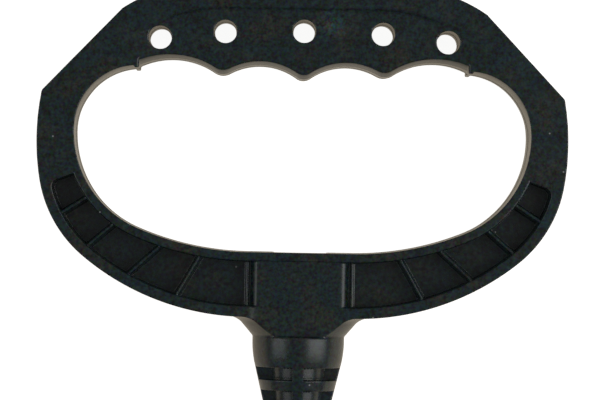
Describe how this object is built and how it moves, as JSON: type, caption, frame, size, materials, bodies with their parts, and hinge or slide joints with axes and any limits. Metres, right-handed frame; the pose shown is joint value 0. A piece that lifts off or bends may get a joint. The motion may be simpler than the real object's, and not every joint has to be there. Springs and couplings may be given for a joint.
{
  "type": "recoil starter handle",
  "caption": "D-shaped pull handle for a recoil starter, moulded in black plastic, with finger grooves, a ribbed bow and a ringed neck for the rope.",
  "frame": {"origin": "middle of the handle's outline, on the surface that it lies on", "axes": "+X across the handle, +Y up the pull axis from the rope to the grip, +Z out of the front face"},
  "size_m": [0.1346, 0.1217, 0.0234],
  "materials": {
    "moulded_plastic": "black moulded plastic with a fine satin texture"
  },
  "bodies": {
    "root": {"handle": "moulded_plastic"}
  },
  "joints": []
}
